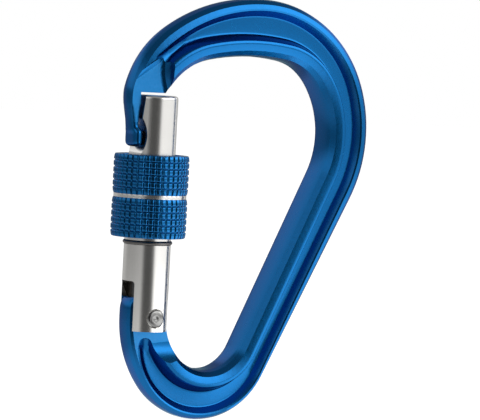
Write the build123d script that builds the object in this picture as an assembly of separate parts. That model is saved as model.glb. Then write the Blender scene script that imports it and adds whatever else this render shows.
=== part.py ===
from build123d import *

import math
import os

# A screw-gate carabiner, pear shaped, hot forged with an I-beam section.
# Millimetres. X runs across the frame from gate to spine, Z up along the gate, Y through the frame.
# The origin is the highest point of the rope seat inside the wide end.

# How far a cutting tool reaches past what it cuts.
OVERSHOOT = 0.5

# --- gate axis and rivet ---
GATE_X = -25.65
RIVET_OFFSET = 0.5
RIVET_X = GATE_X + RIVET_OFFSET
RIVET_Z = -65.8
RIVET_RADIUS = 1.5
RIVET_CLEARANCE = 0.05
RIVET_HEAD_RADIUS = 2.3
RIVET_HEAD_RIM = 0.3
RIVET_HEAD_HEIGHT = 0.75
RIVET_DIMPLE_RADIUS = 0.9
RIVET_DIMPLE_DEPTH = 0.15
SPOT_FACE = 5.15
SPOT_CLEARANCE = 0.15

# --- frame, outer contour: radii and centres of the bends ---
TOE_CENTER = (-9.95, -71.76)
TOE_RADIUS = 19.7
SHOULDER_CENTER = (3.14, -16.91)
SHOULDER_RADIUS = 31.4
HORN_CENTER = (-8.69, -14.53)
HORN_RADIUS = 25.6
HORN_END = 167.0
CROWN_RADIUS = 44.5
HIP_RADIUS = 36.2
HIP_START = 21.0
ARM_RADIUS = 29.0
ARM_REACH = 5.95
ARM_OUTSIDE = GATE_X - ARM_REACH

# --- frame, inner contour ---
SEAT_RADIUS = 57.2
INNER_HORN_RADIUS = 17.5
INNER_HORN_START = 102.4
INNER_SHOULDER_X = 6.7
INNER_SHOULDER_RADIUS = 14.2
INNER_HIP_RADIUS = 22.2
INNER_HIP_START = 35.0
INNER_TOE_CENTER = (-9.45, -68.66)
INNER_TOE_RADIUS = 10.2
INNER_ARM_RADIUS = 13.8
TONGUE_REACH = 4.87
TONGUE_INSIDE = GATE_X + TONGUE_REACH

# --- frame, section of the I-beam ---
RIM_HALF = 3.3
RIM_EDGE_HEIGHT = 2.6
RIM_AT_TOE = 1.45
RIM_AT_SHOULDER = 2.6
RIM_AT_HORN = 3.1
RIM_DRAFT = 45.0
FLANGE_HALF = 5.5
FLANGE_EDGE_HEIGHT = 3.3
FLANGE_EDGE = 3.1
FLANGE_CREST = 4.1
FLANGE_DRAFT = 20.0
FLANGE_ROOT = 1.0
WEB_HALF = 1.5
GROOVE_FILLET = 0.8
GROOVE_NOSE_FOOT = 116.0
GROOVE_NOSE_END = 136.0
GROOVE_HINGE_FOOT = -154.0
GROOVE_HINGE_END = -161.0
FLOOR_STEPS = 2
ROUND_STEPS = 3

# --- frame, hinge end ---
ARM_TIP = -60.86
ARM_TIP_ROUND = 3.0
ARM_GAP = 4.3
ARM_INSIDE = GATE_X - ARM_GAP
TONGUE_TOP = -62.4
TONGUE_LEVER = 2.7
RAMP_TOP = -71.6
RAMP_RADIUS = 7.2

# --- frame, nose end ---
NOSE_HALF = 2.4
NOSE_BORDER_REACH = 15.38
NOSE_BORDER_Z = -3.68
NOSE_BORDER_RADIUS = 14.15
NOSE_BORDER_TOP = 162.4
NOSE_BORDER_FOOT = 203.4
NOSE_SLOPE = 35.0
NOSE_REACH = 20.0
NOSE_DRAFT = 20.0
NOSE_FILLET = 2.0
LEDGE_Z = -10.1
NECK_NEAR = 5.05
NECK_FAR = 6.95
NECK_EDGE = 0.9
HEAD_NEAR = 4.1
HEAD_FAR = 6.5
HEAD_TOP = -18.9
HEAD_BOTTOM = -23.7
HEAD_HALF = 3.4
HEAD_ROUND = 1.1
HEAD_EDGE = 0.9
HEAD_EDGE_HEIGHT = 1.4

# --- gate ---
GATE_RADIUS = 5.85
GATE_TOP = -10.76
GATE_BOTTOM = -69.16
GATE_EDGE = 0.8
GATE_BORE = 3.4
GATE_BORE_END = -39.76
SLOT_CLEARANCE = 0.15
SLOT_TOP = -61.2
WINDOW_TOP = -56.8
WINDOW_DEPTH = 3.0
WINDOW_CORNER = 0.8
NOTCH_TOP_DEPTH = 1.57
NOTCH_NECK_DEPTH = 1.09
NOTCH_HEAD_DEPTH = 2.03
NOTCH_BOTTOM = -27.76
NECK_Z = -16.5
HEAD_Z = -21.2
HEAD_FOOT_Z = -25.2

# --- spring and follower in the gate's bore ---
FOLLOWER_GAP = 0.05
FOLLOWER_CLEARANCE = 0.05
FOLLOWER_HEIGHT = 6.5
FOLLOWER_FLOOR = 1.5
FOLLOWER_WALL = 0.7
SPRING_WIRE = 0.8
SPRING_CLEARANCE = 0.15
SPRING_TURNS = 8
SPRING_STEPS = 10
WIRE_SIDES = 6

# --- stop ring ---
RING_Z = -47.2
RING_WIRE = 1.0
RING_CLEARANCE = 0.05
RING_GROOVE_DEPTH = 0.7
RING_GAP = 1.4

# --- lock sleeve ---
SLEEVE_BOTTOM = -45.9
SLEEVE_LENGTH = 20.45
SLEEVE_RADIUS = 9.4
SLEEVE_EDGE = 0.6
SLEEVE_BORE = 6.0
SLEEVE_MOUTH = 7.75
SLEEVE_MOUTH_DEPTH = 9.0
SLEEVE_BAND_WIDTH = 1.0
SLEEVE_BAND_DEPTH = 0.5


def polar(center, radius, angle):
    """Point on a circle in the frame's plane, at an angle in degrees from +X towards +Z."""
    turn = math.radians(angle)
    return (center[0] + radius * math.cos(turn), center[1] + radius * math.sin(turn))


def angle_to(center, point):
    """Direction from one point to another, in degrees."""
    return math.degrees(math.atan2(point[1] - center[1], point[0] - center[0]))


def meet(c1, d1, c2, d2):
    """Where two circles cross, on the right of the way from the first centre to the second."""
    gap = math.dist(c1, c2)
    along = (d1 ** 2 - d2 ** 2 + gap ** 2) / (2 * gap)
    off = math.sqrt(d1 ** 2 - along ** 2)
    ux = (c2[0] - c1[0]) / gap
    uz = (c2[1] - c1[1]) / gap
    return (c1[0] + along * ux + off * uz, c1[1] + along * uz - off * ux)


def spine_angle(toe, r_toe, hip, r_hip):
    """Direction of the outward normal of the straight spine, which touches the toe and the hip."""
    return angle_to(toe, hip) - math.degrees(math.acos((r_toe - r_hip) / math.dist(toe, hip)))


def arm_center(toe, r_toe, r_arm, side_x):
    """Centre of the arm's bend, which leaves the toe's bend and ends upright at side_x."""
    x = side_x + r_arm
    return (x, toe[1] + math.sqrt((r_arm - r_toe) ** 2 - (x - toe[0]) ** 2))


def outer_bends(at_horn=0.0, at_shoulder=0.0, at_toe=0.0):
    """Bends of the outer contour, set in from the edge by these amounts, from nose to hinge."""
    horn = HORN_RADIUS - at_horn
    crown = CROWN_RADIUS - at_horn
    shoulder = SHOULDER_RADIUS - at_shoulder
    hip = HIP_RADIUS - at_shoulder
    toe = TOE_RADIUS - at_toe
    arm = ARM_RADIUS - at_toe
    crown_center = meet(HORN_CENTER, crown - horn, SHOULDER_CENTER, crown - shoulder)
    hip_center = polar(SHOULDER_CENTER, SHOULDER_RADIUS - HIP_RADIUS, HIP_START)
    arm_middle = arm_center(TOE_CENTER, toe, arm, ARM_OUTSIDE + at_toe)
    crown_start = angle_to(crown_center, HORN_CENTER)
    crown_end = angle_to(crown_center, SHOULDER_CENTER)
    spine = spine_angle(TOE_CENTER, toe, hip_center, hip)
    toe_end = angle_to(arm_middle, TOE_CENTER)
    return [
        (HORN_CENTER, horn, HORN_END, crown_start),
        (crown_center, crown, crown_start, crown_end),
        (SHOULDER_CENTER, shoulder, crown_end, HIP_START),
        (hip_center, hip, HIP_START, spine),
        (TOE_CENTER, toe, spine, toe_end),
        (arm_middle, arm, toe_end, -180.0),
    ]


def inner_bends(grow=0.0):
    """Bends of the inner contour, moved out into the bar by this amount, from hinge to nose."""
    seat_center = (0.0, -SEAT_RADIUS)
    reach = SEAT_RADIUS - INNER_SHOULDER_RADIUS
    shoulder_center = (INNER_SHOULDER_X, math.sqrt(reach ** 2 - INNER_SHOULDER_X ** 2) - SEAT_RADIUS)
    hip_center = polar(shoulder_center, INNER_SHOULDER_RADIUS - INNER_HIP_RADIUS, INNER_HIP_START)
    horn_center = polar(seat_center, SEAT_RADIUS - INNER_HORN_RADIUS, INNER_HORN_START)
    arm_middle = arm_center(INNER_TOE_CENTER, INNER_TOE_RADIUS, INNER_ARM_RADIUS, TONGUE_INSIDE)
    spine = spine_angle(INNER_TOE_CENTER, INNER_TOE_RADIUS, hip_center, INNER_HIP_RADIUS)
    toe_start = angle_to(arm_middle, INNER_TOE_CENTER)
    seat_start = angle_to(seat_center, shoulder_center)
    horn_end = 180.0 - math.degrees(math.asin((LEDGE_Z - horn_center[1]) / INNER_HORN_RADIUS))
    return [
        (arm_middle, INNER_ARM_RADIUS + grow, -180.0, toe_start),
        (INNER_TOE_CENTER, INNER_TOE_RADIUS + grow, toe_start, spine),
        (hip_center, INNER_HIP_RADIUS + grow, spine, INNER_HIP_START),
        (shoulder_center, INNER_SHOULDER_RADIUS + grow, INNER_HIP_START, seat_start),
        (seat_center, SEAT_RADIUS + grow, seat_start, INNER_HORN_START),
        (horn_center, INNER_HORN_RADIUS + grow, INNER_HORN_START, horn_end),
    ]


def bend_edges(bends):
    """Arcs of a run of bends, with the straight spine between the two that it touches."""
    edges = []
    last = None
    for center, radius, start, end in bends:
        first = polar(center, radius, start)
        if last is not None and math.dist(last, first) > 0.001:
            edges.append(Line(last, first))
        edges.append(CenterArc(center, radius, start, end - start))
        last = polar(center, radius, end)
    return edges


def chain(*points):
    return [Line(a, b) for a, b in zip(points, points[1:])]


def run_start(bends):
    center, radius, start, end = bends[0]
    return polar(center, radius, start)


def run_end(bends):
    center, radius, start, end = bends[-1]
    return polar(center, radius, end)


def face_of(edges):
    """Face in the frame's plane, from edges drawn as (x, z)."""
    return Plane.XZ * make_face(edges)


def through(face, half):
    """Plate of this half thickness on both sides of the frame's plane."""
    return extrude(face, half, both=True)


def neck_edge(start, end):
    """Outside of the nose's neck, from the end of the horn down to the head."""
    leave = math.radians(HORN_END + 90.0)
    return Spline([start, end], tangents=[(math.cos(leave), math.sin(leave)), (0.0, -1.0)])


def plate_edges(share):
    """Outline of the frame with its neck and tongue, set in by this share of the rim's width."""
    at_toe = share * RIM_AT_TOE
    outer = outer_bends(share * RIM_AT_HORN, share * RIM_AT_SHOULDER, at_toe)
    inner = inner_bends()
    shoulder = (ARM_OUTSIDE + at_toe, ARM_TIP - ARM_TIP_ROUND)
    arm = [
        Line(run_end(outer), shoulder),
        TangentArc(shoulder, (ARM_INSIDE, ARM_TIP), tangent=(0, 1)),
    ]
    tongue = chain(
        (ARM_INSIDE, ARM_TIP),
        (ARM_INSIDE, TONGUE_TOP),
        (RIVET_X + TONGUE_LEVER, TONGUE_TOP),
        run_start(inner),
    )
    neck_end = (GATE_X - NECK_FAR + share * NECK_EDGE, HEAD_TOP - HEAD_ROUND)
    nose = chain(
        run_end(inner),
        (GATE_X - NECK_NEAR, LEDGE_Z),
        (GATE_X - NECK_NEAR, HEAD_TOP - HEAD_ROUND),
        neck_end,
    )
    neck = neck_edge(run_start(outer), neck_end)
    return bend_edges(outer) + arm + tongue + bend_edges(inner) + nose + [neck]


def end_round(near, r_near, far, r_far, direction):
    """Round that closes a groove between two arcs, in a direction from the near arc's centre."""
    total = r_near + r_far
    gap = math.dist(near, far)
    turn = math.radians(direction - angle_to(near, far))
    reach = (total ** 2 - gap ** 2) / (2 * (total - gap * math.cos(turn)))
    return polar(near, reach, direction), reach - r_near


def slope(rise, draft):
    """How far a wall with this draft moves outwards while it rises this much."""
    return rise * math.tan(math.radians(draft))


def foot_spread(rise, draft):
    """How far a groove's drafted wall, filleted at its foot, has moved at this rise."""
    sweep = math.radians(90.0 - draft)
    if rise >= GROOVE_FILLET * (1 - math.cos(sweep)):
        return slope(rise, draft)
    turn = math.acos(1 - rise / GROOVE_FILLET)
    return GROOVE_FILLET * (math.sin(turn) - math.tan(sweep / 2))


def wall_spread(rise, height, draft):
    """The same for a wall of this height, which is rounded at its crest as at its foot."""
    if rise < height / 2:
        return foot_spread(rise, draft)
    return slope(height, draft) - foot_spread(max(height - rise, 0.0), draft)


def run_out(rise, foot, end):
    """Direction of a groove's end, whose floor slopes up until it is level with the milled nose."""
    return foot + min(rise / (NOSE_HALF - WEB_HALF), 1.0) * (end - foot)


def groove_outline(rise):
    """Outline of the groove at this rise above its floor."""
    rim_height = RIM_HALF - WEB_HALF
    height = FLANGE_HALF - WEB_HALF
    rim = slope(rim_height, RIM_DRAFT) - wall_spread(rise, rim_height, RIM_DRAFT)
    flange = slope(height, FLANGE_DRAFT) - wall_spread(rise, height, FLANGE_DRAFT)
    outer = outer_bends(RIM_AT_HORN + rim, RIM_AT_SHOULDER + rim, RIM_AT_TOE + rim)[1:-1]
    inner = inner_bends(FLANGE_CREST + flange)
    at_horn = run_out(rise, GROOVE_NOSE_FOOT, GROOVE_NOSE_END)
    at_arm = run_out(rise, GROOVE_HINGE_FOOT, GROOVE_HINGE_END)
    crown, r_crown, old_start, crown_end = outer[0]
    toe, r_toe, toe_start, old_end = outer[-1]
    near_arm, r_near_arm, old_arm_start, near_arm_end = inner[0]
    horn, r_horn, horn_start, old_horn_end = inner[-1]
    nose_end, r_nose = end_round(horn, r_horn, crown, r_crown, at_horn)
    hinge_end, r_hinge = end_round(near_arm, r_near_arm, toe, r_toe, at_arm)
    at_crown = angle_to(crown, nose_end)
    at_toe = angle_to(toe, hinge_end)
    outer[0] = (crown, r_crown, at_crown, crown_end)
    outer[-1] = (toe, r_toe, toe_start, at_toe)
    inner[0] = (near_arm, r_near_arm, at_arm, near_arm_end)
    inner[-1] = (horn, r_horn, horn_start, at_horn)
    nose = CenterArc(nose_end, r_nose, at_horn + 180, at_crown - at_horn - 180)
    hinge = CenterArc(hinge_end, r_hinge, at_toe, at_arm - at_toe - 180)
    return bend_edges(outer) + [hinge] + bend_edges(inner) + [nose]


def fillet_steps(radius, draft):
    """(rise, spread) of points along a fillet from a floor up to a drafted wall."""
    sweep = math.radians(90.0 - draft)
    back = radius * math.tan(sweep / 2)
    turns = [sweep * i / FLOOR_STEPS for i in range(FLOOR_STEPS + 1)]
    return [(radius * (1 - math.cos(a)), radius * math.sin(a) - back) for a in turns]


def rounded_levels(half, rise):
    """(height, share of the inset) of the sections of a plate rounded this high on both faces."""
    turns = [math.pi / 2 * i / ROUND_STEPS for i in range(ROUND_STEPS + 1)]
    upper = [(half - rise + rise * math.sin(a), 1 - math.cos(a)) for a in turns]
    lower = [(-height, share) for height, share in reversed(upper)]
    return lower + upper


def stacked(levels, outline):
    """Solid through the outlines that belong to these levels across the frame's plane."""
    wires = [Plane.XZ.offset(height) * Wire(outline(value)) for height, value in levels]
    return Solid.make_loft(wires, ruled=True)


def groove_tool(side):
    """Forged groove between rim and flange, with drafted walls rounded at foot and crest."""
    rim_height = RIM_HALF - WEB_HALF
    height = FLANGE_HALF - WEB_HALF
    foot = [rise for rise, spread in fillet_steps(GROOVE_FILLET, FLANGE_DRAFT)]
    rim_foot = fillet_steps(GROOVE_FILLET, RIM_DRAFT)[-1][0]
    crest = [height - rise for rise in reversed(foot)]
    rises = foot + [rim_height - rim_foot, rim_height] + crest + [height + OVERSHOOT]
    return stacked([(side * (WEB_HALF + rise), rise) for rise in rises], groove_outline)


def band_edges(start, end):
    """Outline of the strip of bar that lies between these two depths from the inner contour."""
    near = inner_bends(start)
    far = inner_bends(end)
    ends = chain(run_start(near), run_start(far)) + chain(run_end(near), run_end(far))
    return bend_edges(near) + bend_edges(far) + ends


def flange():
    """Thick rounded band along the inside of the frame, where the rope runs."""
    width = FLANGE_CREST + slope(FLANGE_HALF - WEB_HALF, FLANGE_DRAFT) + GROOVE_FILLET
    levels = rounded_levels(FLANGE_HALF, FLANGE_EDGE_HEIGHT)
    return stacked(levels, lambda share: band_edges(share * FLANGE_EDGE, width))


def plate():
    """Outer part of the frame, with the rim's outside rounded."""
    body = stacked(rounded_levels(RIM_HALF, RIM_EDGE_HEIGHT), plate_edges)
    return body - through(face_of(band_edges(0.0, FLANGE_ROOT)), RIM_HALF)


def ramp_tool(side):
    """Space beside the tongue for the gate's cheeks, with a cutter's radius at its foot."""
    rise = FLANGE_HALF + OVERSHOOT - RIM_HALF
    drop = math.sqrt(RAMP_RADIUS ** 2 - (RAMP_RADIUS - rise) ** 2)
    flat = side * RIM_HALF
    far = side * (RIM_HALF + rise)
    top = TONGUE_TOP + OVERSHOOT
    outline = chain((far, RAMP_TOP - drop), (far, top), (flat, top), (flat, RAMP_TOP))
    outline.append(TangentArc((flat, RAMP_TOP), (far, RAMP_TOP - drop), tangent=(0, -1)))
    face = Plane.YZ.offset(ARM_OUTSIDE - OVERSHOOT) * make_face(outline)
    return extrude(face, TONGUE_INSIDE + INNER_ARM_RADIUS - ARM_OUTSIDE, dir=(1, 0, 0))


def nose_outline(spread):
    """Outline of the flat milled beside the nose, moved out this far from the flat's edge."""
    middle = (GATE_X + NOSE_BORDER_REACH, NOSE_BORDER_Z)
    radius = NOSE_BORDER_RADIUS - spread
    along = Vector(1, 0).rotate(Axis.Z, NOSE_SLOPE)
    across = Vector(0, 1).rotate(Axis.Z, NOSE_SLOPE)
    rise = NOSE_BORDER_RADIUS * math.sin(math.radians(NOSE_BORDER_TOP - NOSE_SLOPE)) + spread
    corner = Vector(*middle) + across * rise - along * math.sqrt(radius ** 2 - rise ** 2)
    far = corner - along * NOSE_REACH
    top = (corner.X, corner.Y)
    start = angle_to(middle, top)
    foot = polar(middle, radius, NOSE_BORDER_FOOT)
    bottom = HEAD_BOTTOM - OVERSHOOT
    border = CenterArc(middle, radius, start, NOSE_BORDER_FOOT - start)
    return [border] + chain(foot, (foot[0], bottom), (far.X, bottom), (far.X, far.Y), top)


def nose_tool(side):
    """Space milled off the side of the horn, so that the nose passes into the sleeve."""
    top = FLANGE_HALF - NOSE_HALF + OVERSHOOT
    levels = fillet_steps(NOSE_FILLET, NOSE_DRAFT)
    levels.append((top, slope(top, NOSE_DRAFT)))
    return stacked([(side * (NOSE_HALF + rise), spread) for rise, spread in levels], nose_outline)


def head_outline(share):
    """Outline of the nose's head, at this share of its edge's inset."""
    inset = share * HEAD_EDGE
    width = HEAD_FAR - HEAD_NEAR - 2 * inset
    height = HEAD_TOP - HEAD_BOTTOM - 2 * inset
    middle = Pos(GATE_X - (HEAD_NEAR + HEAD_FAR) / 2, (HEAD_TOP + HEAD_BOTTOM) / 2)
    return (middle * RectangleRounded(width, height, HEAD_ROUND - inset)).edges()


def nose_head():
    """Rounded head at the tip of the nose, which locks into the notch of the gate."""
    return stacked(rounded_levels(HEAD_HALF, HEAD_EDGE_HEIGHT), head_outline)


def frame():
    body = plate() + flange()
    for side in (1, -1):
        body -= groove_tool(side)
        body -= ramp_tool(side)
        body -= nose_tool(side)
    body += nose_head()
    hole = Cylinder(RIVET_RADIUS + RIVET_CLEARANCE, 2 * (RIM_HALF + OVERSHOOT), rotation=(90, 0, 0))
    return body - Pos(RIVET_X, 0, RIVET_Z) * hole


def round_bar(radius, bottom, top):
    """Upright cylinder on the gate's axis."""
    return Pos(GATE_X, 0, (bottom + top) / 2) * Cylinder(radius, top - bottom)


def turned(points):
    """Solid turned about the gate's axis, from (radius, z) points of its outline."""
    outline = make_face(chain(*points, points[0]))
    return Pos(GATE_X, 0, 0) * revolve(Plane.XZ * outline, Axis.Z)


def rounded_top(radius, z, edge):
    """Points that round the top of a turned bar, from its side to its end face."""
    turns = [math.pi / 2 * i / ROUND_STEPS for i in range(ROUND_STEPS + 1)]
    return [(radius - edge + edge * math.cos(a), z - edge + edge * math.sin(a)) for a in turns]


def cross_box(x0, x1, half, z0, z1):
    """Box across the frame's plane, of this half thickness."""
    middle = Pos((x0 + x1) / 2, 0, (z0 + z1) / 2)
    return middle * Box(x1 - x0, 2 * half, z1 - z0)


def notch_tool():
    """Notch in the left of the gate's top, hollowed for the head of the nose."""
    left = GATE_X - GATE_RADIUS - OVERSHOOT
    side = GATE_X - GATE_RADIUS
    top = (side + NOTCH_TOP_DEPTH, GATE_TOP + OVERSHOOT)
    neck = (side + NOTCH_NECK_DEPTH, NECK_Z)
    deep = (side + NOTCH_HEAD_DEPTH, HEAD_Z)
    foot = (side + NOTCH_NECK_DEPTH, HEAD_FOOT_Z)
    floor = (side + NOTCH_NECK_DEPTH, NOTCH_BOTTOM)
    edges = chain((left, NOTCH_BOTTOM), (left, top[1]), top, neck)
    edges.append(ThreePointArc(neck, deep, foot))
    edges += chain(foot, floor, (left, NOTCH_BOTTOM))
    return through(face_of(edges), GATE_RADIUS + OVERSHOOT)


def gate_bar():
    """Turned bar of the gate with its blind bore and the groove for the stop ring."""
    groove_half = RING_WIRE / 2 + RING_CLEARANCE
    groove_radius = GATE_RADIUS - RING_GROOVE_DEPTH
    return turned(
        [
            (GATE_BORE, GATE_BOTTOM),
            (GATE_RADIUS, GATE_BOTTOM),
            (GATE_RADIUS, RING_Z - groove_half),
            (groove_radius, RING_Z - groove_half),
            (groove_radius, RING_Z + groove_half),
            (GATE_RADIUS, RING_Z + groove_half),
            *rounded_top(GATE_RADIUS, GATE_TOP, GATE_EDGE),
            (0, GATE_TOP),
            (0, GATE_BORE_END),
            (GATE_BORE, GATE_BORE_END),
        ]
    )


def gate():
    bar = gate_bar()
    slot_half = RIM_HALF + SLOT_CLEARANCE
    left = GATE_X - GATE_RADIUS - OVERSHOOT
    right = GATE_X + GATE_RADIUS + OVERSHOOT
    window = cross_box(left, GATE_X - WINDOW_DEPTH, slot_half, GATE_BOTTOM - OVERSHOOT, WINDOW_TOP)
    window = fillet(window.edges().filter_by(Axis.X).group_by(Axis.Z)[-1], WINDOW_CORNER)
    bar -= window
    bar -= cross_box(left, right, slot_half, GATE_BOTTOM - OVERSHOOT, SLOT_TOP)
    bar -= notch_tool()
    spot = Cylinder(RIVET_HEAD_RADIUS + SPOT_CLEARANCE, 2 * OVERSHOOT, rotation=(90, 0, 0))
    for side in (-1, 1):
        bar -= Pos(RIVET_X, side * (SPOT_FACE + OVERSHOOT), RIVET_Z) * spot
    hole = Cylinder(RIVET_RADIUS, 2 * (GATE_RADIUS + OVERSHOOT), rotation=(90, 0, 0))
    return bar - Pos(RIVET_X, 0, RIVET_Z) * hole


def rivet():
    """Hinge pin with a low, dimpled dome peened on each end."""
    rim = SPOT_FACE + RIVET_HEAD_RIM
    crown = SPOT_FACE + RIVET_HEAD_HEIGHT
    span = RIVET_HEAD_RADIUS - RIVET_DIMPLE_RADIUS
    turns = [math.pi / 2 * i / FLOOR_STEPS for i in range(FLOOR_STEPS + 1)]
    dome = [
        (RIVET_DIMPLE_RADIUS + span * math.cos(a), rim + (crown - rim) * math.sin(a))
        for a in turns
    ]
    points = [(0, 0), (RIVET_RADIUS, 0), (RIVET_RADIUS, SPOT_FACE), (RIVET_HEAD_RADIUS, SPOT_FACE)]
    points += dome + [(0, crown - RIVET_DIMPLE_DEPTH)]
    half = revolve(make_face(chain(*points, points[0])), Axis.Y)
    return Pos(RIVET_X, 0, RIVET_Z) * (half + mirror(half, about=Plane.XZ))


def follower():
    """Cup that slides in the gate's bore and rests on the flat top of the tongue."""
    bottom = TONGUE_TOP + FOLLOWER_GAP
    floor = bottom + FOLLOWER_FLOOR
    radius = GATE_BORE - FOLLOWER_CLEARANCE
    cup = round_bar(radius, bottom, bottom + FOLLOWER_HEIGHT)
    return cup - round_bar(radius - FOLLOWER_WALL, floor, bottom + FOLLOWER_HEIGHT + OVERSHOOT)


def spring():
    """Compression spring between the follower and the end of the bore: one unbroken coil."""
    radius = GATE_BORE - FOLLOWER_CLEARANCE - FOLLOWER_WALL - SPRING_CLEARANCE - SPRING_WIRE / 2
    foot = TONGUE_TOP + FOLLOWER_GAP + FOLLOWER_FLOOR + SPRING_WIRE / 2
    rise = GATE_BORE_END - SPRING_WIRE / 2 - foot
    pitch = rise / SPRING_TURNS
    steps = SPRING_TURNS * SPRING_STEPS
    points = []
    wires = []
    for i in range(steps + 1):
        turn = 2 * math.pi * i / SPRING_STEPS
        point = Vector(
            GATE_X + radius * math.cos(turn),
            radius * math.sin(turn),
            foot + pitch * i / SPRING_STEPS,
        )
        ahead = Vector(-radius * math.sin(turn), radius * math.cos(turn), pitch / (2 * math.pi))
        across = Vector(math.cos(turn), math.sin(turn), 0)
        section = RegularPolygon(SPRING_WIRE / 2, WIRE_SIDES)
        points.append(point)
        wires.append((Plane(origin=point, x_dir=across, z_dir=ahead) * section).wire())
    apart = [
        (points[i] - points[j]).length
        for i in range(steps + 1)
        for j in range(i + SPRING_STEPS // 2, steps + 1)
    ]
    print("spring: least gap to itself", round(min(apart) - SPRING_WIRE, 2))
    return Solid.make_loft(wires, ruled=True)


def stop_ring():
    """Open wire ring, snapped into the groove of the gate below the sleeve."""
    radius = GATE_RADIUS - RING_GROOVE_DEPTH + RING_CLEARANCE + RING_WIRE / 2
    section = Pos(radius, RING_Z) * RegularPolygon(RING_WIRE / 2, WIRE_SIDES)
    ring = Pos(GATE_X, 0, 0) * revolve(Plane.XZ * section, Axis.Z)
    return ring - Pos(GATE_X, radius, RING_Z) * Box(RING_GAP, 2 * RING_WIRE, 2 * RING_WIRE)


def sleeve():
    """Screw sleeve with a plain turned groove round its middle and a wide mouth for the nose."""
    top = SLEEVE_BOTTOM + SLEEVE_LENGTH
    middle = SLEEVE_BOTTOM + SLEEVE_LENGTH / 2
    band_low = middle - SLEEVE_BAND_WIDTH / 2
    band_high = middle + SLEEVE_BAND_WIDTH / 2
    band_radius = SLEEVE_RADIUS - SLEEVE_BAND_DEPTH
    return turned(
        [
            (SLEEVE_BORE, SLEEVE_BOTTOM),
            (SLEEVE_RADIUS - SLEEVE_EDGE, SLEEVE_BOTTOM),
            (SLEEVE_RADIUS, SLEEVE_BOTTOM + SLEEVE_EDGE),
            (SLEEVE_RADIUS, band_low),
            (band_radius, band_low),
            (band_radius, band_high),
            (SLEEVE_RADIUS, band_high),
            (SLEEVE_RADIUS, top - SLEEVE_EDGE),
            (SLEEVE_RADIUS - SLEEVE_EDGE, top),
            (SLEEVE_MOUTH, top),
            (SLEEVE_MOUTH, top - SLEEVE_MOUTH_DEPTH),
            (SLEEVE_BORE, top - SLEEVE_MOUTH_DEPTH),
        ]
    )


os.makedirs("parts", exist_ok=True)
export_step(frame(), "parts/frame.step")
export_step(gate(), "parts/gate.step")
export_step(rivet(), "parts/gate_rivet.step")
export_step(follower(), "parts/spring_follower.step")
export_step(spring(), "parts/gate_spring.step")
export_step(stop_ring(), "parts/stop_ring.step")
export_step(sleeve(), "parts/lock_sleeve.step")
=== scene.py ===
import math

import bpy
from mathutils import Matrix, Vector


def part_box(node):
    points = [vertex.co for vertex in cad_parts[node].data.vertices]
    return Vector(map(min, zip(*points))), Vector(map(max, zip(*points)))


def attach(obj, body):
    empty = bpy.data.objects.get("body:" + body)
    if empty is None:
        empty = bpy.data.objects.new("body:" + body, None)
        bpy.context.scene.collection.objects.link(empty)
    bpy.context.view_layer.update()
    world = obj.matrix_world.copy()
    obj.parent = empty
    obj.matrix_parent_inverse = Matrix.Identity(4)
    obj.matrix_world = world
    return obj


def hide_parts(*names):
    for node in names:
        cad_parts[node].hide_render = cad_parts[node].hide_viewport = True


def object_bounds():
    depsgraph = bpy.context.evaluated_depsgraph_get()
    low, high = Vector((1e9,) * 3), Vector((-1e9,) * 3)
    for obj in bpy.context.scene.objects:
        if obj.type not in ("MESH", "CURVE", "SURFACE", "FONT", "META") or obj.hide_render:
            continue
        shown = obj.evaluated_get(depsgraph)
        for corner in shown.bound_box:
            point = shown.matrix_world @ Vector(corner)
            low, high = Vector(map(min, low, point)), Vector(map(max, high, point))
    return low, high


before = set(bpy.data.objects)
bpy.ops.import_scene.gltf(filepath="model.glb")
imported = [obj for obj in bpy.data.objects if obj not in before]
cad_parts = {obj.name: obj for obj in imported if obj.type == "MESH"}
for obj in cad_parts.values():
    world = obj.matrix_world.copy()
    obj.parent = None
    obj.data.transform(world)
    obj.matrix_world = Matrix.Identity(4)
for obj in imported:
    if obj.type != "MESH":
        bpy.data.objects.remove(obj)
cad_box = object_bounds()

# --- Bow ---
# The bow is one aluminium forging: a thin rounded rim, a web and the thick flange that the rope runs
# on, with the nose milled flat at the top and the hinge end milled at the bottom. After forging it is
# tumbled, which softens its edges, and then anodised blue.


def deselect_all():
    """Leaves edit mode and deselects every object."""
    if bpy.context.object and bpy.context.object.mode != "OBJECT":
        bpy.ops.object.mode_set(mode="OBJECT")
    bpy.ops.object.select_all(action="DESELECT")


def work_on(piece):
    """Makes the piece the only selected one, and the active one."""
    deselect_all()
    piece.select_set(True)
    bpy.context.view_layer.objects.active = piece


def skin_of(node, name):
    """A copy of a CAD node as one closed skin."""
    skin = bpy.data.objects.new(name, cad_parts[node].data.copy())
    bpy.context.scene.collection.objects.link(skin)
    work_on(skin)
    bpy.ops.object.mode_set(mode="EDIT")
    bpy.ops.mesh.select_all(action="SELECT")
    bpy.ops.mesh.customdata_custom_splitnormals_clear()
    bpy.ops.mesh.remove_doubles(threshold=1e-6)
    bpy.ops.object.mode_set(mode="OBJECT")
    return skin


def shade(skin, smooth_below):
    """Shades a skin smooth but for edges sharper than this, in degrees, with its flat faces flat."""
    work_on(skin)
    bpy.ops.object.shade_smooth_by_angle(angle=math.radians(smooth_below))
    even = skin.modifiers.new("even", "WEIGHTED_NORMAL")
    even.mode = "FACE_AREA_WITH_ANGLE"
    even.keep_sharp = True
    even.weight = 100
    bpy.ops.object.modifier_apply(modifier="even")


def finish_with(piece, material):
    """Gives the piece this material and no other."""
    piece.data.materials.clear()
    piece.data.materials.append(material)


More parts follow.
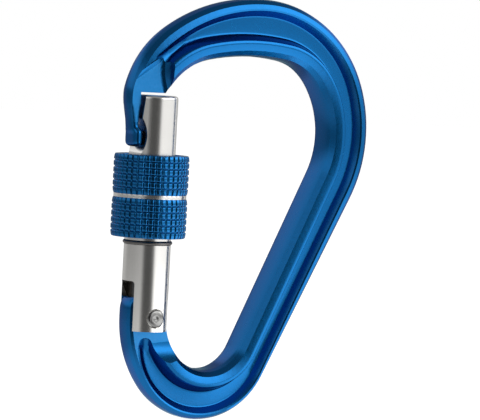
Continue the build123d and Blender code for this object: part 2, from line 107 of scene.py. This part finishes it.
class Finish:
    """A new material whose shader is reached by the nodes that this adds."""

    def __init__(self, name, **sockets):
        self.material = bpy.data.materials.new(name)
        self.material.use_nodes = True
        self.tree = self.material.node_tree
        self.shader = self.tree.nodes["Principled BSDF"]
        for socket, value in sockets.items():
            self.shader.inputs[socket.replace("_", " ")].default_value = value
        self.place = self.tree.nodes.new("ShaderNodeTexCoord").outputs["Object"]

    def add(self, kind, **sockets):
        """A new node, with each socket set to a value or linked to another node's output."""
        node = self.tree.nodes.new("ShaderNode" + kind)
        for socket, value in sockets.items():
            target = node.inputs[socket.replace("_", " ")]
            if isinstance(value, bpy.types.NodeSocket):
                self.tree.links.new(value, target)
            else:
                target.default_value = value
        return node

    def grain(self, scale, detail=2.0, stretch=(1.0, 1.0, 1.0)):
        """Noise over the piece, in patches of about one over the scale, in metres."""
        spread = self.add("Mapping", Vector=self.place, Scale=stretch)
        noise = self.add("TexNoise", Vector=spread.outputs[0], Scale=scale, Detail=detail)
        return noise.outputs["Fac"]

    def between(self, fac, low, high):
        """A number that goes from low to high with fac."""
        span = self.add("MapRange", Value=fac, To_Min=low, To_Max=high)
        return span.outputs[0]

    def blend(self, fac, first, second):
        """A colour that goes from the first to the second with fac."""
        mix = self.tree.nodes.new("ShaderNodeMix")
        mix.data_type = "RGBA"
        self.tree.links.new(fac, mix.inputs["Factor"])
        for socket, value in (("A", first), ("B", second)):
            target = [s for s in mix.inputs if s.name == socket and s.type == "RGBA"][0]
            if isinstance(value, bpy.types.NodeSocket):
                self.tree.links.new(value, target)
            else:
                target.default_value = value
        return [s for s in mix.outputs if s.type == "RGBA"][0]

    def link(self, output, socket):
        """Leads an output into a socket of the shader."""
        self.tree.links.new(output, self.shader.inputs[socket])

    def rough_up(self, height, depth):
        """Bumps of this depth in metres."""
        bump = self.add("Bump", Height=height, Distance=depth, Strength=1.0)
        self.link(bump.outputs[0], "Normal")


blue_edge = (0.0, 0.35, 0.45, 1)
anodised = Finish(
    "anodised_blue", Metallic=1.0, Specular_Tint=blue_edge,
    Coat_Weight=0.25, Coat_Roughness=0.15, Coat_IOR=1.4,
)
dye = anodised.grain(60.0)
anodised.link(anodised.blend(dye, (0.001, 0.1, 0.29, 1), (0.002, 0.114, 0.33, 1)), "Base Color")
tumbled = anodised.grain(900.0, detail=4.0)
anodised.link(anodised.between(tumbled, 0.22, 0.3), "Roughness")
anodised.rough_up(tumbled, 0.00002)

bow = skin_of("frame", "bow")

# The lower neck and the head of the nose are cut from the bow, and come back as a piece that is rounded
# by smoothing, as the tumbling does. The rounding grows from nothing at the cut, where the bow laps it.
head_top = -0.0125
head_foot = -0.026
head_inside = -0.0285
nose_zone_foot = -0.04
lap = 0.0007
rounding_grows_over = 0.004
rounding_passes = 90
even_voxel = 0.00018
deselect_all()
head = bow.copy()
head.data = bow.data.copy()
head.name = "nose_head"
bpy.context.scene.collection.objects.link(head)
for piece, keep_below in ((head, True), (bow, False)):
    work_on(piece)
    bpy.ops.object.mode_set(mode="EDIT")
    bpy.ops.mesh.select_mode(type="VERT")
    bpy.ops.mesh.select_all(action="DESELECT")
    bpy.ops.object.mode_set(mode="OBJECT")
    for point in piece.data.vertices:
        in_nose = point.co.x < head_inside and nose_zone_foot < point.co.z < 0
        point.select = keep_below or in_nose
    bpy.ops.object.mode_set(mode="EDIT")
    bpy.ops.mesh.bisect(
        plane_co=(0, 0, head_top if keep_below else head_top - lap),
        plane_no=(0, 0, 1), use_fill=True,
        clear_outer=keep_below, clear_inner=not keep_below,
    )
    bpy.ops.object.mode_set(mode="OBJECT")
work_on(head)
for place, normal in (((0, 0, head_foot), (0, 0, -1)), ((head_inside, 0, 0), (1, 0, 0))):
    bpy.ops.object.mode_set(mode="EDIT")
    bpy.ops.mesh.select_all(action="SELECT")
    bpy.ops.mesh.bisect(plane_co=place, plane_no=normal, use_fill=True, clear_outer=True)
    bpy.ops.object.mode_set(mode="OBJECT")
remesh = head.modifiers.new("even_mesh", "REMESH")
remesh.mode = "VOXEL"
remesh.voxel_size = even_voxel
bpy.ops.object.modifier_apply(modifier="even_mesh")
below_cut = head.vertex_groups.new(name="below_cut")
for point in head.data.vertices:
    share = (head_top - lap - point.co.z) / rounding_grows_over
    below_cut.add([point.index], min(max(share, 0.0), 1.0), "REPLACE")
tumbled_round = head.modifiers.new("tumbled", "SMOOTH")
tumbled_round.factor = 0.5
tumbled_round.iterations = rounding_passes
tumbled_round.vertex_group = "below_cut"
bpy.ops.object.modifier_apply(modifier="tumbled")
bpy.ops.object.shade_smooth()
finish_with(head, anodised.material)
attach(head, "bow")

shade(bow, smooth_below=20.0)
finish_with(bow, anodised.material)

# The flats milled at the nose and the hinge are more matt. Their lighter blue is a painted sheen, for
# the brighter light these face-on flats catch.
flat = Finish("flat_blue_painted_sheen", Metallic=1.0, Specular_Tint=blue_edge, Coat_Weight=0.25)
cutter = flat.grain(1400.0, detail=3.0)
flat.link(flat.blend(cutter, (0.006, 0.16, 0.42, 1), (0.02, 0.2, 0.5, 1)), "Base Color")
flat.link(flat.between(cutter, 0.32, 0.42), "Roughness")
bow.data.materials.append(flat.material)
# The flats are found by the bow's half thickness there, and by how squarely a face looks forwards.
nose_half = 0.0024
nose_flat_right = -0.024
neck_foot = -0.0175
hinge_half = 0.0033
hinge_flat_right = -0.021
hair = 0.00001
square_on = 0.98
nearly_square_on = 0.9
for face in bow.data.polygons:
    depth = abs(face.center.y)
    at_nose = abs(depth - nose_half) < hair and face.center.x < nose_flat_right
    at_hinge = abs(depth - hinge_half) < hair and face.center.x < hinge_flat_right
    if abs(face.normal.y) > square_on and (at_nose or at_hinge):
        face.material_index = 1
# The head's forward-facing flats get the same painted sheen.
head.data.materials.append(flat.material)
for face in head.data.polygons:
    if abs(face.normal.y) > nearly_square_on and face.center.z > neck_foot:
        face.material_index = 1
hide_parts("frame")
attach(bow, "bow")

# --- Gate ---
# The gate is an aluminium bar, turned with fine lines round it and left silver. Its top is notched for
# the nose, and its foot is slotted over the bow's tongue, with a window beside the bow's arm.
silver = Finish("turned_silver", Metallic=1.0)
patches = silver.grain(120.0)
silver.link(silver.blend(patches, (0.74, 0.73, 0.70, 1), (0.80, 0.79, 0.77, 1)), "Base Color")
turned_lines = silver.grain(2500.0, detail=2.0, stretch=(0.02, 0.02, 4.0))
silver.link(silver.between(turned_lines, 0.17, 0.25), "Roughness")
silver.rough_up(turned_lines, 0.000002)

# Inside, the drilled bore and the milled slot are dull. Their near-black colour is painted shade, for
# the shadow inside the gate's window.
inside_shade = Finish("painted_shade_inside", Metallic=1.0)
cutter_marks = inside_shade.grain(1200.0, detail=3.0)
inside_shade.link(inside_shade.blend(cutter_marks, (0.07, 0.063, 0.056, 1), (0.12, 0.11, 0.10, 1)), "Base Color")
inside_shade.link(inside_shade.between(cutter_marks, 0.45, 0.6), "Roughness")

gate_low, gate_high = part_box("gate")
gate_x = (gate_low.x + gate_high.x) / 2
gate_radius = (gate_high.x - gate_low.x) / 2
outer_skin = 0.0006
inside_foot = -0.0685
inside_top = -0.0395
gate = skin_of("gate", "gate_bar")
shade(gate, smooth_below=35.0)
finish_with(gate, silver.material)
gate.data.materials.append(inside_shade.material)
# Faces inside the bore and the slot, where shade falls, take the painted shade.
for face in gate.data.polygons:
    off_axis = (face.center.xy - Vector((gate_x, 0))).length
    if off_axis < gate_radius - outer_skin and inside_foot < face.center.z < inside_top:
        face.material_index = 1
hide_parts("gate")
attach(gate, "gate")

# The screw thread that the sleeve climbs: a fine ridge round the gate, hidden by the sleeve at rest.
sleeve_low, sleeve_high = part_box("lock_sleeve")
thread_pitch = 0.0025
thread_height = 0.00012
thread_stretch = 3.0
thread_turns = 4.0
thread_foot = sleeve_low.z + 0.0004

deselect_all()
bpy.ops.mesh.primitive_circle_add(vertices=3, radius=thread_height, fill_type="NOTHING")
thread = bpy.context.object
thread.name = "gate_thread"
bpy.ops.object.mode_set(mode="EDIT")
bpy.ops.mesh.select_all(action="SELECT")
bpy.ops.transform.rotate(value=math.radians(90), orient_axis="X", center_override=(0, 0, 0))
bpy.ops.transform.resize(value=(1.0, 1.0, thread_stretch), center_override=(0, 0, 0))
bpy.ops.transform.translate(value=(gate_radius, 0, 0))
bpy.ops.object.mode_set(mode="OBJECT")
screw = thread.modifiers.new("thread", "SCREW")
screw.screw_offset = thread_pitch * thread_turns
screw.angle = math.tau * thread_turns
screw.steps = 256
screw.render_steps = 256
bpy.ops.object.modifier_apply(modifier="thread")
bpy.ops.object.mode_set(mode="EDIT")
bpy.ops.mesh.select_all(action="SELECT")
bpy.ops.mesh.fill_holes(sides=0)
bpy.ops.mesh.normals_make_consistent(inside=False)
bpy.ops.transform.translate(value=(gate_x, 0, thread_foot))
bpy.ops.object.mode_set(mode="OBJECT")
bpy.ops.object.shade_smooth_by_angle(angle=math.radians(40))
finish_with(thread, silver.material)
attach(thread, "gate")

# --- Hinge rivet ---
# A stainless pin through both cheeks of the gate and the tongue, peened at each end to a low dome with
# a small dimple from the tool.
steel = Finish("peened_steel", Metallic=1.0)
hammered = steel.grain(1500.0, detail=3.0)
steel.link(steel.blend(hammered, (0.18, 0.18, 0.18, 1), (0.28, 0.28, 0.27, 1)), "Base Color")
steel.link(steel.between(hammered, 0.14, 0.24), "Roughness")
steel.rough_up(hammered, 0.00002)

rivet = skin_of("gate_rivet", "hinge_rivet")
shade(rivet, smooth_below=40.0)
finish_with(rivet, steel.material)
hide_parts("gate_rivet")
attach(rivet, "gate")

# --- Spring and follower ---
# Inside the gate, a coil of drawn stainless wire pushes a black moulded cup onto the bow's tongue.
# Both stay the CAD's own nodes, because the coil shortens as the gate opens.
wire = Finish("drawn_wire", Metallic=1.0)
drawn = wire.grain(700.0, detail=3.0)
wire.link(wire.blend(drawn, (0.32, 0.32, 0.33, 1), (0.46, 0.46, 0.46, 1)), "Base Color")
wire.link(wire.between(drawn, 0.28, 0.4), "Roughness")
finish_with(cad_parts["gate_spring"], wire.material)

moulded = Finish("black_moulding")
matt = moulded.grain(2500.0, detail=3.0)
moulded.link(moulded.blend(matt, (0.012, 0.012, 0.013, 1), (0.03, 0.03, 0.031, 1)), "Base Color")
moulded.link(moulded.between(matt, 0.45, 0.6), "Roughness")
moulded.rough_up(matt, 0.00001)
finish_with(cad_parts["spring_follower"], moulded.material)

# --- Stop ring ---
# A ring of dark round spring wire, open by a small gap at the back, snapped into a groove of the gate
# to keep the sleeve from unscrewing downwards.
ring_low, ring_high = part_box("stop_ring")
ring_z = (ring_low.z + ring_high.z) / 2
ring_wire = 0.00049
ring_radius = (ring_high.x - ring_low.x) / 2 - ring_wire
ring_gap = 0.0014

deselect_all()
bpy.ops.mesh.primitive_torus_add(
    major_segments=96, minor_segments=16, major_radius=ring_radius, minor_radius=ring_wire
)
stop_ring = bpy.context.object
stop_ring.name = "stop_ring_wire"
bpy.ops.object.mode_set(mode="EDIT")
for gap_side in (ring_gap / 2, -ring_gap / 2):
    bpy.ops.mesh.select_all(action="SELECT")
    bpy.ops.mesh.bisect(plane_co=(gap_side, 0, 0), plane_no=(1, 0, 0))
bpy.ops.mesh.select_all(action="DESELECT")
bpy.ops.object.mode_set(mode="OBJECT")
for face in stop_ring.data.polygons:
    face.select = face.center.y > 0 and abs(face.center.x) < ring_gap / 2
bpy.ops.object.mode_set(mode="EDIT")
bpy.ops.mesh.select_mode(type="FACE")
bpy.ops.mesh.delete(type="FACE")
bpy.ops.mesh.select_mode(type="VERT")
bpy.ops.mesh.select_all(action="SELECT")
bpy.ops.mesh.fill_holes(sides=0)
bpy.ops.transform.translate(value=(gate_x, 0, ring_z))
bpy.ops.object.mode_set(mode="OBJECT")
bpy.ops.object.shade_smooth_by_angle(angle=math.radians(40))

dark_wire = Finish("dark_wire", Metallic=1.0)
oiled = dark_wire.grain(800.0, detail=3.0)
dark_wire.link(dark_wire.blend(oiled, (0.09, 0.085, 0.08, 1), (0.17, 0.165, 0.16, 1)), "Base Color")
dark_wire.link(dark_wire.between(oiled, 0.35, 0.5), "Roughness")
finish_with(stop_ring, dark_wire.material)
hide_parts("stop_ring")
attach(stop_ring, "ring")

# --- Lock sleeve ---
# An aluminium nut turned from bar: straight and ring-shaped vee grooves leave rows of blunt pyramids
# for the fingers. It is anodised blue, and the groove round its middle is then turned bright.
teeth_round = 38
tooth_rows = 6
sleeve_x = (sleeve_low.x + sleeve_high.x) / 2
crest = (sleeve_high.x - sleeve_low.x) / 2
groove_depth = 0.00033
valley = crest - groove_depth
crest_from = 0.2
crest_to = 0.8
end_round = 0.00015
lines_per_tooth = 5
sleeve_length = sleeve_high.z - sleeve_low.z
band_half = 0.0005
mouth_radius = 0.00775
mouth_depth = 0.009
bore_radius = 0.006
bore_edge = 0.0003
half_length = sleeve_length / 2 - band_half
row_pitch = half_length / tooth_rows

# (radius, height) up the outside, down the mouth and the bore, and back to the start
outline = []
for half_foot in (0.0, sleeve_length / 2 + band_half):
    for row in range(tooth_rows):
        row_foot = half_foot + row * row_pitch
        outline.append((valley, row_foot))
        low_crest = crest - (end_round if row == 0 else 0)
        high_crest = crest - (end_round if row == tooth_rows - 1 else 0)
        outline.append((low_crest, row_foot + crest_from * row_pitch))
        outline.append((high_crest, row_foot + crest_to * row_pitch))
    outline.append((valley, half_foot + half_length))
outline += [
    (mouth_radius + bore_edge, sleeve_length),
    (mouth_radius, sleeve_length - bore_edge),
    (mouth_radius, sleeve_length - mouth_depth),
    (bore_radius, sleeve_length - mouth_depth),
    (bore_radius, bore_edge),
    (bore_radius + bore_edge, 0.0),
    outline[0],
]

deselect_all()
bpy.ops.mesh.primitive_circle_add(vertices=lines_per_tooth * teeth_round, radius=outline[0][0])
sleeve = bpy.context.object
sleeve.name = "sleeve_knurled"
bpy.ops.object.mode_set(mode="EDIT")
bpy.ops.mesh.select_all(action="SELECT")
for (radius_before, height_before), (radius, height) in zip(outline, outline[1:]):
    rise = (0, 0, height - height_before)
    grow = radius / radius_before
    bpy.ops.mesh.extrude_region_move(TRANSFORM_OT_translate={"value": rise})
    bpy.ops.transform.resize(value=(grow, grow, 1.0), center_override=(0, 0, 0))
bpy.ops.mesh.select_all(action="SELECT")
bpy.ops.mesh.remove_doubles(threshold=1e-6)
bpy.ops.mesh.normals_make_consistent(inside=False)

# The straight grooves: one line of points in five along the crests is pushed in.
bpy.ops.mesh.select_mode(type="VERT")
bpy.ops.mesh.select_all(action="DESELECT")
bpy.ops.object.mode_set(mode="OBJECT")
first_turn = math.atan2(sleeve.data.vertices[0].co.y, sleeve.data.vertices[0].co.x)
for point in sleeve.data.vertices:
    turn = math.atan2(point.co.y, point.co.x) - first_turn
    line = round(turn / math.tau * lines_per_tooth * teeth_round)
    point.select = line % lines_per_tooth == 0 and point.co.xy.length > (crest + valley) / 2
bpy.ops.object.mode_set(mode="EDIT")
bpy.ops.transform.resize(value=(valley / crest, valley / crest, 1.0), center_override=(0, 0, 0))
bpy.ops.mesh.select_all(action="SELECT")
bpy.ops.transform.translate(value=(sleeve_x, 0, sleeve_low.z))
bpy.ops.object.mode_set(mode="OBJECT")
blunt = sleeve.modifiers.new("blunt", "BEVEL")
blunt.width = 0.00005
blunt.segments = 1
blunt.limit_method = "ANGLE"
blunt.angle_limit = math.radians(25)
bpy.ops.object.modifier_apply(modifier="blunt")
bpy.ops.object.shade_smooth_by_angle(angle=math.radians(28))

knurled = Finish(
    "sleeve_blue", Metallic=1.0, Specular_Tint=blue_edge,
    Coat_Weight=0.35, Coat_Roughness=0.1, Coat_IOR=1.4,
)
dip = knurled.grain(70.0)
knurled.link(knurled.blend(dip, (0.001, 0.1, 0.28, 1), (0.002, 0.115, 0.31, 1)), "Base Color")
worn = knurled.grain(1200.0, detail=3.0)
knurled.link(knurled.between(worn, 0.18, 0.28), "Roughness")
knurled.rough_up(worn, 0.00001)
finish_with(sleeve, knurled.material)
sleeve.data.materials.append(silver.material)
sleeve_middle = (sleeve_low.z + sleeve_high.z) / 2
outside_mouth = mouth_radius + 0.0005
for face in sleeve.data.polygons:
    outer = (face.center.xy - Vector((sleeve_x, 0))).length > outside_mouth
    if outer and abs(face.center.z - sleeve_middle) < band_half - hair:
        face.material_index = 1
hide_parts("lock_sleeve")
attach(sleeve, "sleeve")

# --- Camera ---
# The camera stands 0.8 m away with a long lens, 29 degrees round towards the gate and a little above
# the middle, and leans 3 degrees to one side.
aim = Vector((0.0, 0.0, -0.03868))
camera_distance = 0.812
camera_turn = math.radians(-28.62)
camera_rise = math.radians(2.88)
camera_roll = math.radians(3.04)
away = Vector((math.sin(camera_turn), -math.cos(camera_turn), 0.0)) * math.cos(camera_rise)
away.z = math.sin(camera_rise)

camera_data = bpy.data.cameras.new("camera")
camera_data.sensor_width = 36.0
camera_data.lens = 241.8
camera = bpy.data.objects.new("camera", camera_data)
bpy.context.scene.collection.objects.link(camera)
camera.location = aim + away * camera_distance
camera.rotation_euler = (-away).to_track_quat("-Z", "Y").to_euler()
camera.rotation_euler.rotate_axis("Z", camera_roll)
bpy.context.scene.camera = camera
bpy.context.scene.view_settings.view_transform = "Standard"

# --- Studio ---
# A white table in a white room. The metal mirrors a light patch of table before it, a soft box on each
# side, dim places above and below, and the dark one behind the camera, which give it its stripes. On
# the table these are painted light: for the metal's rays it glows with a painted light patch and
# painted reflections of the soft boxes, while the soft box lamps themselves are not mirrored.
floor_z = cad_box[0][2] - 0.0002
deselect_all()
bpy.ops.mesh.primitive_plane_add(size=6.0, location=(0, 0, floor_z))
floor = bpy.context.object
floor.name = "floor"

sideways = Vector((math.cos(camera_turn), math.sin(camera_turn), 0.0))
forwards = Vector((away.x, away.y, 0.0)).normalized()
full_light = 3.4


def graded(finish, value, low, high, stops):
    """A grey that goes through these (value, level) stops."""
    span = finish.add("MapRange", Value=value, From_Min=low, From_Max=high)
    ramp = finish.add("ValToRGB", Fac=span.outputs[0])
    marks = ramp.color_ramp.elements
    while len(marks) < len(stops):
        marks.new(0.5)
    for mark, (at, level) in zip(marks, stops):
        mark.position = (at - low) / (high - low)
        mark.color = (level, level, level, 1)
    return ramp.outputs["Color"]


def along(finish, place, direction):
    """How far a place or a direction lies along another."""
    dot = finish.add("VectorMath")
    dot.operation = "DOT_PRODUCT"
    finish.tree.links.new(place, dot.inputs[0])
    dot.inputs[1].default_value = direction
    return dot.outputs["Value"]


def combined(finish, operation, first, second):
    """Two numbers put together."""
    math_node = finish.add("Math")
    math_node.operation = operation
    for socket, value in zip(math_node.inputs, (first, second)):
        if isinstance(value, bpy.types.NodeSocket):
            finish.tree.links.new(value, socket)
        else:
            socket.default_value = value
    return math_node.outputs[0]


def from_middle(finish, operation, place):
    """A place's direction from the middle of the table (NORMALIZE), or its distance (LENGTH)."""
    node = finish.add("VectorMath")
    node.operation = operation
    finish.tree.links.new(place, node.inputs[0])
    return node.outputs["Value" if operation == "LENGTH" else "Vector"]


def metal_rays(finish, rays):
    """One for the rays that metal mirrors or glass lets through, and nothing for the others."""
    through = rays.outputs["Is Transmission Ray"]
    return combined(finish, "MAXIMUM", rays.outputs["Is Glossy Ray"], through)


def mixed(finish, fac, first, second):
    """Two shaders mixed, all the first at nothing and all the second at one."""
    mix = finish.add("MixShader", Fac=fac)
    finish.tree.links.new(first.outputs[0], mix.inputs[1])
    finish.tree.links.new(second.outputs[0], mix.inputs[2])
    return mix


# (how far a mirrored direction lies towards the camera, or to its right, and the light from there)
ring_stops = [(-0.6, 0.15), (-0.2, 0.09), (0.7, 0.08), (0.95, 0.025)]
box_stops = [(-0.9, 0.3), (-0.4, 0.36), (-0.16, 0.0), (0.5, 0.0), (0.68, 1.0)]

table = Finish("white_table", Base_Color=(0.9, 0.9, 0.9, 1), Roughness=0.9)
table.link(table.blend(table.grain(3.0), (0.88, 0.88, 0.88, 1), (0.92, 0.92, 0.92, 1)), "Base Color")
table_rays = table.add("LightPath")
compass = from_middle(table, "NORMALIZE", table.place)
reach = from_middle(table, "LENGTH", table.place)
table_ring = graded(table, along(table, compass, forwards), -1, 1, ring_stops)
table_boxes = graded(table, along(table, compass, sideways), -1, 1, box_stops)
table_level = graded(table, reach, 0, 1, [(0.0, 0.7), (0.2, 0.7), (0.5, 0.3)])
# A painted light patch on the table close by the object, seen only in the metal.
glow_close_by = graded(table, reach, 0, 1, [(0.0, 0.35), (0.05, 0.35), (0.1, 0.0)])
table_light = combined(table, "MULTIPLY", table_boxes, table_level)
table_light = combined(table, "MAXIMUM", table_ring, table_light)
table_light = combined(table, "MAXIMUM", table_light, glow_close_by)
# The table glows for the metal's rays, though it is no lamp: painted reflections of the soft boxes and
# painted light patches.
table_glow = table.add("Emission", Color=table_light, Strength=full_light)
white = table.add("Emission", Color=(1, 1, 1, 1), Strength=1.3)
kept_shadow = mixed(table, 0.75, table.shader, white)
table_shine = mixed(table, metal_rays(table, table_rays), table.shader, table_glow)
table_seen = mixed(table, table_rays.outputs["Is Camera Ray"], table_shine, kept_shadow)
table_out = table.tree.nodes["Material Output"]
table.tree.links.new(table_seen.outputs[0], table_out.inputs["Surface"])
finish_with(floor, table.material)


class Room(Finish):
    """The world's own nodes, reached as a finish's are."""

    def __init__(self, name):
        self.world = bpy.data.worlds.new(name)
        self.world.use_nodes = True
        self.tree = self.world.node_tree
        self.tree.nodes.clear()
        self.place = self.tree.nodes.new("ShaderNodeTexCoord").outputs["Generated"]


# (height of a mirrored direction, and how much of the soft boxes' light comes from there)
level_stops = [
    (-0.75, 0.0), (-0.5, 1.0), (-0.12, 0.3), (0.1, 0.3), (0.3, 1.0), (0.5, 1.0), (0.7, 0.0),
]
room = Room("studio")
bpy.context.scene.world = room.world
room_ring = graded(room, along(room, room.place, away), -1, 1, ring_stops)
room_boxes = graded(room, along(room, room.place, sideways), -1, 1, box_stops)
room_level = graded(room, along(room, room.place, (0, 0, 1)), -1, 1, level_stops)
room_light = combined(room, "MULTIPLY", room_boxes, room_level)
room_light = combined(room, "MAXIMUM", room_ring, room_light)
room_rays = room.add("LightPath")
reflected = room.add("Background", Color=room_light, Strength=full_light)
ambient = room.add("Background", Color=(1, 1, 1, 1), Strength=0.5)
backdrop = room.add("Background", Color=(1, 1, 1, 1), Strength=1.0)
room_shine = mixed(room, metal_rays(room, room_rays), ambient, reflected)
room_seen = mixed(room, room_rays.outputs["Is Camera Ray"], room_shine, backdrop)
room_out = room.add("OutputWorld")
room.tree.links.new(room_seen.outputs[0], room_out.inputs["Surface"])


def soft_box(name, turn, rise, distance, width, height, watts):
    """A soft box at this turn from the camera and rise above the table, facing the object."""
    round_by = camera_turn + math.radians(turn)
    up_by = math.radians(rise)
    towards = Vector((math.sin(round_by), -math.cos(round_by), 0.0)) * math.cos(up_by)
    towards.z = math.sin(up_by)
    lamp = bpy.data.lights.new(name, "AREA")
    lamp.shape = "RECTANGLE"
    lamp.size = width
    lamp.size_y = height
    lamp.energy = watts
    box = bpy.data.objects.new(name, lamp)
    bpy.context.scene.collection.objects.link(box)
    box.location = aim + towards * distance
    box.rotation_euler = (-towards).to_track_quat("-Z", "Y").to_euler()
    box.visible_glossy = False


soft_box("box_right", turn=70, rise=20, distance=0.6, width=0.35, height=0.6, watts=1.2)
soft_box("box_left", turn=-50, rise=25, distance=0.6, width=0.25, height=0.6, watts=0.8)
soft_box("box_top", turn=0, rise=75, distance=0.6, width=0.6, height=0.4, watts=1.4)
